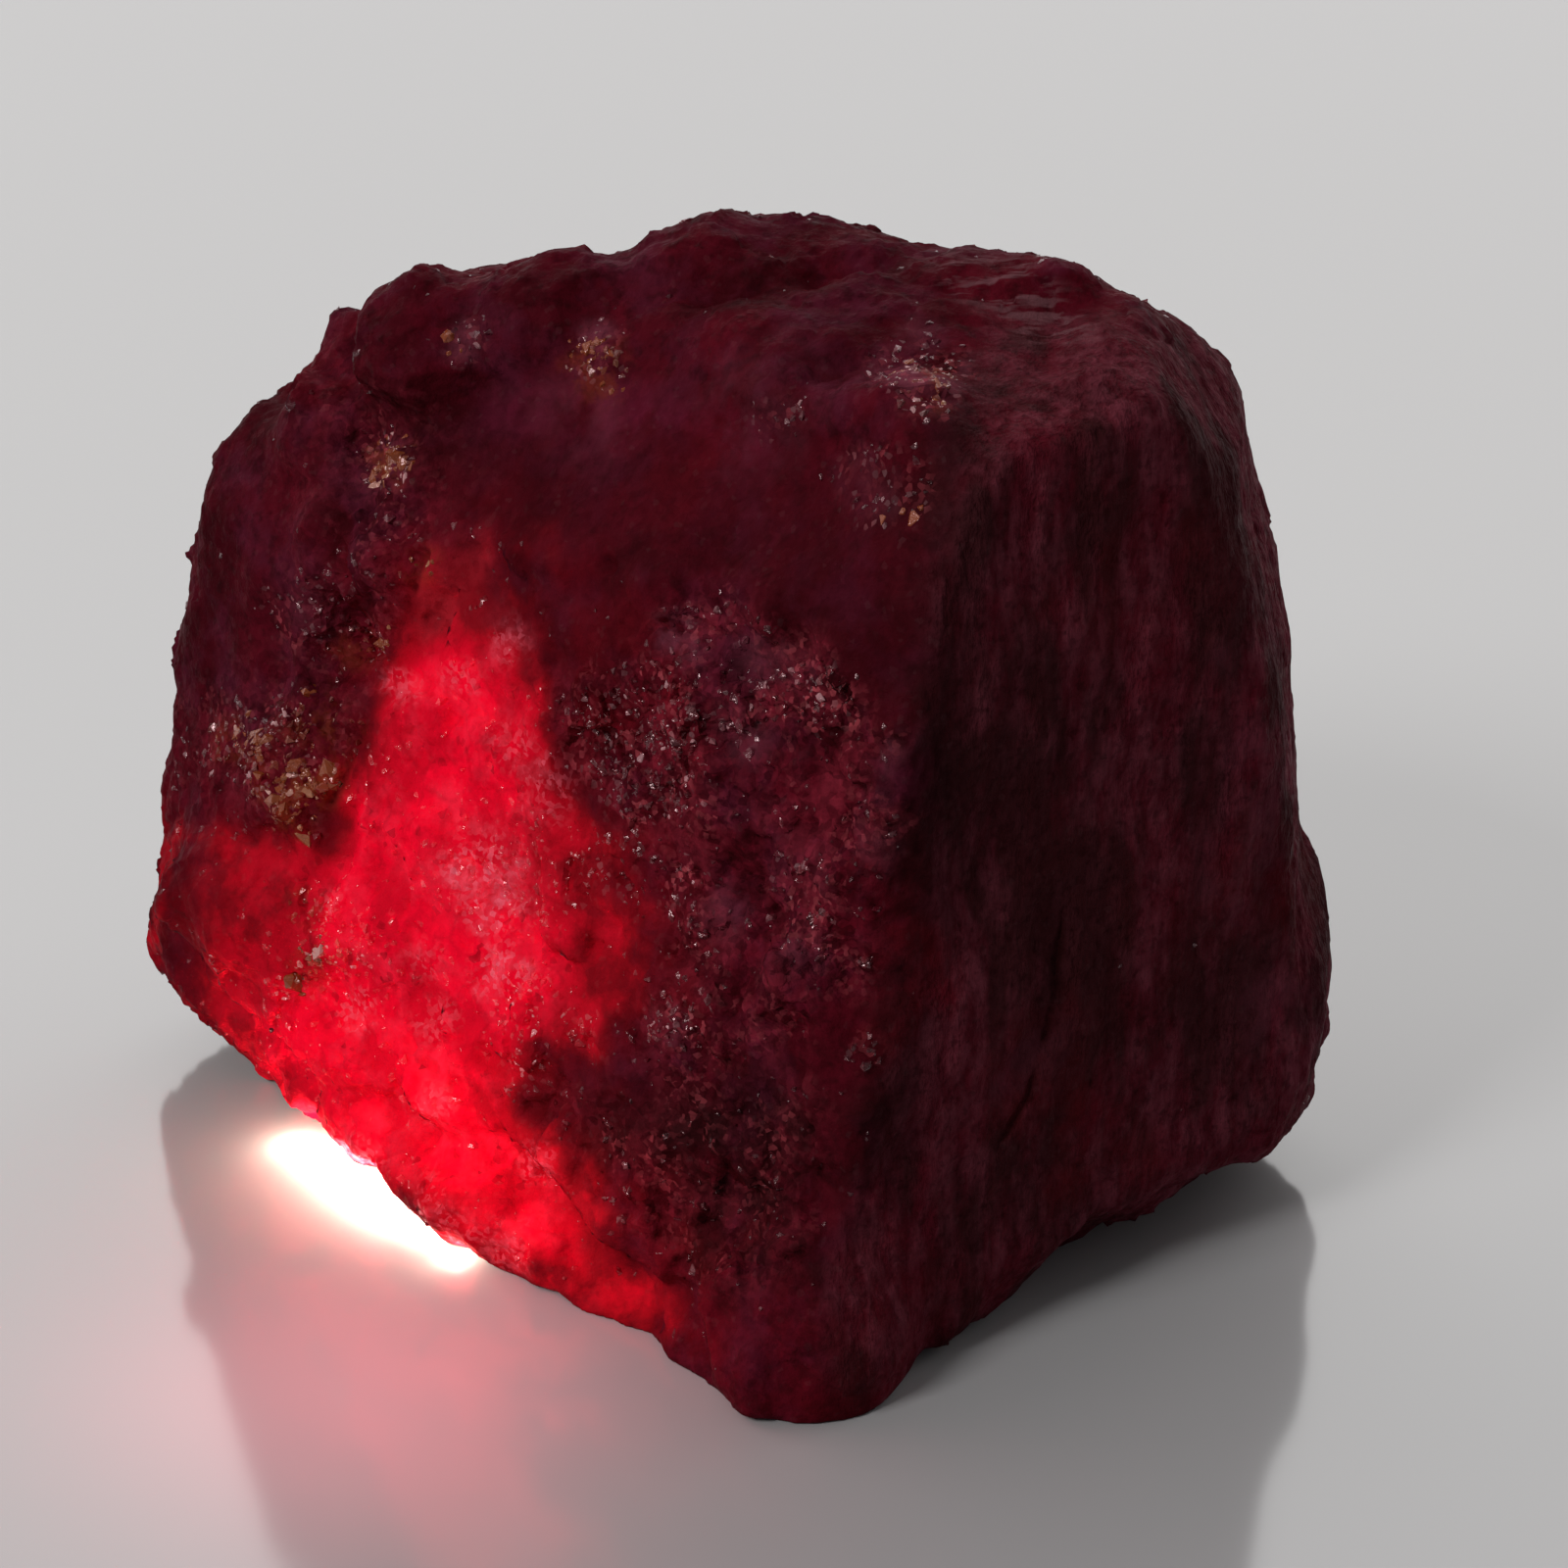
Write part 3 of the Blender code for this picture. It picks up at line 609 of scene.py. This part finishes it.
# how strongly each layer covers what lies under it
covers = {
    "plum": 0.65, "speck": 0.50, "hollowShade": 0.45, "streakWine": 0.65, "streakDark": 0.80, "streakSpeck": 0.40,
    "dustAndSheen": 0.75, "blotch": 0.70, "crumbAndGlint": 0.85, "gapShade": 0.60, "clots": 0.34, "vein": 0.24, "blot": 0.45,
    "pale": 0.75, "rust": 0.85, "paintedGlint": 0.85, "crack": 0.70,
}


class Nodes:
    # a short way to write a node tree
    def __init__(self, owner):
        owner.use_nodes = True
        self.tree = owner.node_tree
        self.tree.nodes.clear()

    def set(self, socket, value):
        if isinstance(value, bpy.types.NodeSocket):
            self.tree.links.new(value, socket)
        elif socket.type == "RGBA" and len(value) == 3:
            socket.default_value = (*value, 1.0)
        else:
            socket.default_value = value

    def add(self, kind, inputs=None, **settings):
        node = self.tree.nodes.new(kind)
        for name, value in settings.items():
            setattr(node, name, value)
        for name, value in (inputs or {}).items():
            self.set(node.inputs[name], value)
        return node

    def blend(self, share, first, second, how="MIX"):
        node = self.add("ShaderNodeMix", data_type="RGBA", blend_type=how)
        for index, value in ((0, share), (6, first), (7, second)):
            self.set(node.inputs[index], value)
        return node.outputs[2]

    def calculate(self, how, first, second, clamped=False):
        node = self.add("ShaderNodeMath", {0: first, 1: second}, operation=how, use_clamp=clamped)
        return node.outputs[0]

    def plus(self, first, second):
        return self.calculate("ADD", first, second, clamped=True)

    def minus(self, first, second):
        return self.calculate("SUBTRACT", first, second, clamped=True)

    def times(self, product, *others):
        for other in others:
            product = self.calculate("MULTIPLY", product, other)
        return product

    def between(self, value, low, high, toLow=0.0, toHigh=1.0):
        inputs = {"Value": value, "From Min": low, "From Max": high, "To Min": toLow, "To Max": toHigh}
        return self.add("ShaderNodeMapRange", inputs).outputs["Result"]

    def vectors(self, how, first, second):
        return self.add("ShaderNodeVectorMath", {0: first, 1: second}, operation=how).outputs

    def grey(self, value):
        return self.add("ShaderNodeCombineColor", {0: value, 1: value, 2: value}).outputs[0]


class Paint(Nodes):
    # the tree of a ruby material, with the patterns that its layers share
    def __init__(self, material, lone):
        super().__init__(material)
        self.masks = {}
        self.lone = lone                        # for crystals, which are single grains
        self.place = self.add("ShaderNodeTexCoord").outputs["Object"]
        self.clumps = self.cloud(*patterns["clumps"])
        self.grains = self.chances("grains")    # 0.7 mm across
        self.small = self.chances("small")      # 0.3 mm across
        self.crumbs = self.chances("crumbs")    # 0.2 mm across
        self.chance = self.mask("chance") if lone else self.small[0]
        self.alongStreaks = self.turned(*drawnOut["alongStreaks"])
        self.downhill = self.turned(*drawnOut["downhill"])
        self.fineStreaks = self.cloud(*patterns["fineStreaks"][:2], self.alongStreaks)
        self.flaws = self.pattern("flaws")

    def mask(self, name):
        if name not in self.masks:
            self.masks[name] = self.add("ShaderNodeAttribute", attribute_name=name).outputs["Fac"]
        return self.masks[name]

    def turned(self, angle, scale):
        inputs = {"Vector": self.place, "Rotation": (0, 0, math.radians(angle)), "Scale": scale}
        return self.add("ShaderNodeMapping", inputs).outputs[0]

    def cloud(self, scale, detail=3.0, vector=None):
        vector = self.place if vector is None else vector
        inputs = {"Vector": vector, "Scale": scale, "Detail": detail, "Roughness": 0.62}
        return self.add("ShaderNodeTexNoise", inputs).outputs["Fac"]

    def pattern(self, name, vector=None):
        scale, detail, begins, full = patterns[name]
        return self.between(self.cloud(scale, detail, vector), begins, full)

    def cells(self, name, **settings):
        inputs = {"Vector": self.place, "Scale": cellScales[name]}
        return self.add("ShaderNodeTexVoronoi", inputs, **settings).outputs

    def chances(self, name):
        # three chance numbers for each cell
        return self.add("ShaderNodeSeparateColor", {"Color": self.cells(name)["Color"]}).outputs

    def layer(self, share, under, over):
        # a colour can be given by its name in finish
        under, over = (finish[colour] if isinstance(colour, str) else colour for colour in (under, over))
        return self.blend(share, under, over)


def bodyColour(paint):
    # maroon with patches of wine and plum, fine dark specks, painted shade in the concave break and a purple
    # band
    body = paint.layer(paint.pattern("wine"), "maroon", "wine")
    body = paint.layer(paint.times(paint.pattern("plum"), covers["plum"]), body, "plum")
    body = paint.layer(paint.times(paint.pattern("speck"), covers["speck"]), body, "speck")
    # painted shade: the concave break is darkened to maroon
    body = paint.layer(paint.times(paint.mask("hollowShade"), covers["hollowShade"]), body, "maroon")
    return paint.layer(paint.times(paint.mask("purple"), paint.pattern("violet")), body, "violet")


def streakedSide(paint, body):
    # soft upright streaks of brown and pale, with dark ones between, and pale strokes on the top, partly a
    # dusting and partly painted sheen
    paler = paint.between(paint.fineStreaks, *patterns["fineStreaks"][2:])
    streaks = paint.layer(paler, "streakBrown", "streakPale")
    streaks = paint.layer(paint.times(paint.pattern("streakWine"), covers["streakWine"]), streaks, "wine")
    darker = paint.times(paint.pattern("streakDark", paint.alongStreaks), covers["streakDark"])
    streaks = paint.layer(darker, streaks, "streakDark")
    streaks = paint.layer(paint.times(paint.pattern("streakSpeck"), covers["streakSpeck"]), streaks, "speck")
    body = paint.layer(paint.mask("streaked"), body, streaks)
    # pale strokes on the top, partly a dusting and partly painted sheen
    dustAndSheenShare = paint.times(paint.mask("topPale"), paint.pattern("dustAndSheen", paint.downhill), covers["dustAndSheen"])
    return paint.layer(dustAndSheenShare, body, "dustAndSheen")


def broadTones(paint, body):
    # lighter blotches in the granular zone, darker and redder clumps where the spots say
    blotches = paint.times(paint.mask("sugar"), paint.pattern("blotch"), covers["blotch"])
    body = paint.layer(blotches, body, "blotch")
    darkClumps = paint.between(paint.clumps, 0.38, 0.60, 0.30, 0.92)
    body = paint.layer(paint.times(paint.mask("dark"), darkClumps), body, "darkEdge")
    redClumps = paint.between(paint.clumps, 0.36, 0.60, 0.80, 0.15)
    return paint.layer(paint.times(paint.mask("reddish"), redClumps), body, "reddish")


def brokenGrains(paint, body):
    # single grains, each with its own depth of colour, and pale crumbs in clusters that are partly painted
    # glints
    sugar, sparkle = paint.mask("sugar"), paint.mask("sparkle")
    tone = paint.times(paint.between(paint.grains[0], 0.0, 1.0, 0.72, 1.30),
                       paint.between(paint.chance, 0.0, 1.0, 0.66, 1.38))
    toned = paint.blend(1.0, body, paint.grey(tone), "MULTIPLY")
    body = paint.layer(paint.plus(sugar, 0.25), body, toned)
    clusters = paint.pattern("clusters")
    broken = paint.plus(paint.times(sugar, clusters, 0.50),
                        paint.times(sparkle, paint.between(clusters, 0.0, 1.0, 0.25, 0.85)))
    # pale crumbs, partly painted glints
    crumbs = paint.times(paint.between(paint.crumbs[0], 0.62, 1.0), broken, covers["crumbAndGlint"])
    body = paint.layer(crumbs, body, "crumbAndGlint")
    # darker cells: painted shade between the grains
    paintedGapShade = paint.times(paint.between(paint.crumbs[1], 0.40, 0.22), covers["gapShade"], broken)
    return paint.layer(paintedGapShade, body, "speck")


def paintedGlowLevel(paint):
    # how strong the painted glow is, less in the clots
    glow = paint.mask("glow")
    return paint.minus(glow, paint.times(paint.pattern("clots"), covers["clots"], glow))


def paintedGlowColour(paint, level):
    # the colour of the painted glow: the clear red, duller where the glow is weaker, with an orange knob,
    # pink flaws and dark veins
    red = paint.layer(paint.between(level, 0.10, 0.36), "deepRed", "dullRed")
    red = paint.layer(paint.between(level, 0.34, 0.80), red, "red")
    onKnob = paint.times(paint.mask("knob"), paint.between(paint.clumps, 0.35, 0.60, 0.15, 0.85))
    red = paint.layer(onKnob, red, "orange")
    inGlow = paint.between(paint.mask("glow"), 0.5, 1.0, 0.06, 0.40)
    red = paint.layer(paint.times(paint.flaws, inGlow), red, "pinkRed")
    pinkCrumbs = paint.plus(paint.times(paint.between(paint.crumbs[0], 0.45, 1.0), 0.75),
                            paint.times(paint.flaws, 0.4))
    red = paint.layer(paint.times(paint.mask("pink"), pinkCrumbs), red, "sugarPink")
    toEdge = paint.cells("veins", feature="DISTANCE_TO_EDGE")["Distance"]
    veins = paint.times(paint.between(toEdge, 0.0, 0.10, 1.0, 0.0), paint.between(paint.clumps, 0.46, 0.58))
    blots = paint.times(paint.between(paint.small[1], 0.90, 0.97), paint.between(paint.clumps, 0.44, 0.60))
    dark = paint.plus(paint.times(veins, covers["vein"]), paint.times(blots, covers["blot"]))
    return paint.layer(dark, red, "vein")


def marksOnTop(paint, body):
    # pale plates, rusty stain, amber and cream crystals, painted glints, dark cracks
    plates = paint.times(paint.mask("pale"), paint.between(paint.clumps, 0.40, 0.60), covers["pale"])
    body = paint.layer(plates, body, "pale")
    if paint.lone:
        stain = 1.0
        stainColour = paint.layer(paint.between(paint.chance, 0.76, 1.0), "amber", "cream")
        paintedGlintShare = paint.between(paint.chance, 0.88, 0.95)
    else:
        stain = paint.pattern("stain")
        stainColour = "rust"
        paintedGlintShare = paint.times(paint.between(paint.crumbs[2], 0.95, 0.99), 0.25)
    body = paint.layer(paint.times(paint.mask("rust"), stain, covers["rust"]), body, stainColour)
    # pale pink dots painted as glints, mostly where the glints cluster
    sparkling = paint.plus(paint.times(paint.mask("sparkle"), 0.90), 0.05)
    body = paint.layer(paint.times(paintedGlintShare, sparkling, covers["paintedGlint"]), body, "paintedGlint")
    return paint.layer(paint.times(paint.mask("crack"), covers["crack"]), body, "crack")


def fineRelief(paint):
    # the smallest broken facets, then the streaks and a dull grain over all
    facets = paint.cells("facets")
    tilt = paint.vectors("SUBTRACT", facets["Color"], (0.5, 0.5, 0.5))["Vector"]
    away = paint.vectors("SUBTRACT", paint.place, facets["Position"])["Vector"]
    facet = paint.vectors("DOT_PRODUCT", tilt, away)["Value"]
    chipped = paint.add("ShaderNodeBump", {
        "Height": paint.times(facet, paint.plus(paint.mask("sugar"), relief["onFacets"])),
        "Strength": 1.0, "Distance": relief["facetDepth"],
    })
    ribs = paint.times(paint.fineStreaks, paint.mask("streaked"))
    dullGrain = paint.times(paint.cloud(relief["dullScale"]), relief["dullShare"])
    dull = paint.add("ShaderNodeBump", {
        "Height": paint.calculate("ADD", ribs, dullGrain), "Strength": relief["strength"],
        "Distance": relief["depth"] * mm, "Normal": chipped.outputs["Normal"],
    })
    return dull.outputs["Normal"]


def rubyMaterial(name, gloss, roughest, smoothest, tint=(1.0, 1.0, 1.0), lone=False):
    material = bpy.data.materials.new(name)
    paint = Paint(material, lone)
    body = brokenGrains(paint, broadTones(paint, streakedSide(paint, bodyColour(paint))))
    # the painted glow: a brighter red base colour and emission where light from below would shine through
    level = paintedGlowLevel(paint)
    red = paintedGlowColour(paint, level)
    body = marksOnTop(paint, paint.layer(paint.between(level, 0.04, 0.42), body, red))
    glowTone = paint.times(paint.between(paint.grains[1], 0.0, 1.0, 0.82, 1.12),
                           paint.between(paint.chance, 0.0, 1.0, 0.82, 1.14))
    shader = paint.add("ShaderNodeBsdfPrincipled", {
        "Base Color": body, "Roughness": paint.between(paint.chance, 0.0, 1.0, roughest, smoothest),
        "Normal": fineRelief(paint), "IOR": 1.77, "Specular IOR Level": gloss, "Specular Tint": tint,
        "Emission Color": red,
        "Emission Strength": paint.times(paint.between(level, 0.08, 0.95), finish["paintedGlowStrength"], glowTone),
    })
    paint.add("ShaderNodeOutputMaterial", {"Surface": shader.outputs[0]})
    material.cycles.emission_sampling = "NONE"      # its light is too weak to be worth sampling
    return material


ruby = makeSkin()
makeCrystals(ruby)


# Floor, light and camera. Powers are in watts.
stage = {
    "floorSize": 3000.0,
    "floorColour": (0.46, 0.452, 0.455),
    "floorRoughness": 0.11,
    "floorGloss": 1.0,
    "floorIor": 1.7,
    "roomFront": (0.12, 0.12, 0.125),
    "roomBack": (1.60, 1.58, 1.57),
    "roomLow": 0.63,
    "roomTop": 0.50,
    "frontFill": {"at": (-360.0, -340.0, 420.0), "size": 200.0, "power": 1.8, "aim": (0.0, 0.0, 18.0)},
    "lampColour": (1.0, 0.80, 0.62),
    # across, away, up, radius and power of each lamp under the edge
    "lamps": ((-16.2, 0.0, 0.6, 0.4, 0.0005), (-14.9, -1.4, 0.6, 0.4, 0.0007),
              (-13.6, -2.9, 0.6, 0.4, 0.0008), (-12.6, -4.1, 0.5, 0.4, 0.0008),
              (-11.6, -5.3, 0.5, 0.4, 0.0007), (-10.6, -6.7, 0.4, 0.3, 0.0005),
              (-9.6, -8.0, 0.4, 0.3, 0.0003)),
    "throughColour": (1.0, 0.20, 0.26),
    "through": {"at": (-12.5, -16.5, 8.5), "size": 12.0, "power": 0.0011, "aim": (-12.0, -16.0, 0.0)},
}


def makeFloor():
    bpy.ops.object.select_all(action="DESELECT")
    bpy.ops.mesh.primitive_plane_add(size=stage["floorSize"] * mm)
    floor = bpy.context.object
    floor.name = "floor"
    material = bpy.data.materials.new("pale floor")
    nodes = Nodes(material)
    shader = nodes.add("ShaderNodeBsdfPrincipled", {
        "Base Color": stage["floorColour"], "Roughness": stage["floorRoughness"],
        "Specular IOR Level": stage["floorGloss"], "IOR": stage["floorIor"],
    })
    nodes.add("ShaderNodeOutputMaterial", {"Surface": shader.outputs[0]})
    floor.data.materials.append(material)


def makeRoom():
    # a pale room, bright behind the stone and dim in front of it
    world = bpy.data.worlds.new("pale room")
    bpy.context.scene.world = world
    nodes = Nodes(world)
    way = nodes.add("ShaderNodeSeparateXYZ", {0: nodes.add("ShaderNodeTexCoord").outputs["Generated"]})
    room = nodes.blend(nodes.between(way.outputs["Y"], -0.35, 0.85), stage["roomFront"], stage["roomBack"])
    overhead = nodes.between(way.outputs["Z"], 0.45, 0.95, 1.0, stage["roomTop"])
    low = nodes.between(way.outputs["Z"], 0.10, 0.45, stage["roomLow"], 1.0)
    background = nodes.add("ShaderNodeBackground", {"Color": room, "Strength": nodes.times(overhead, low)})
    nodes.add("ShaderNodeOutputWorld", {"Surface": background.outputs[0]})


def softLight(name, at, size, power, aim):
    at, aim = Vector(at) * mm, Vector(aim) * mm
    bpy.ops.object.light_add(type="AREA", location=at)
    light = bpy.context.object
    light.name = name
    light.data.size = size * mm
    light.data.energy = power
    light.rotation_euler = (aim - at).to_track_quat("-Z", "Y").to_euler()
    return light


def makeLamps():
    # small warm lamps tucked under the edge at the lower left
    for across, away, up, radius, power in stage["lamps"]:
        bpy.ops.object.light_add(type="POINT", location=Vector((across, away, up)) * mm)
        light = bpy.context.object
        light.name = "lamp below"
        light.visible_glossy = False
        light.data.energy = power
        light.data.color = stage["lampColour"]
        light.data.shadow_soft_size = radius * mm
    # the red light that comes through the stone onto the floor
    light = softLight("light through the stone", **stage["through"])
    light.visible_glossy = False
    light.data.color = stage["throughColour"]


def makeCamera():
    bpy.ops.object.camera_add(location=Vector(front["eye"]) * mm)
    view = bpy.context.object
    view.rotation_euler = (math.radians(90.0 - front["downward"]), 0.0, 0.0)
    view.data.lens = front["lens"]
    view.data.sensor_width = 36.0
    view.data.clip_start = 0.005
    bpy.context.scene.camera = view


makeFloor()
makeRoom()
softLight("front fill", **stage["frontFill"])
makeLamps()
makeCamera()
bpy.context.scene.view_settings.view_transform = "Standard"
print("stage: floor, lights and camera")
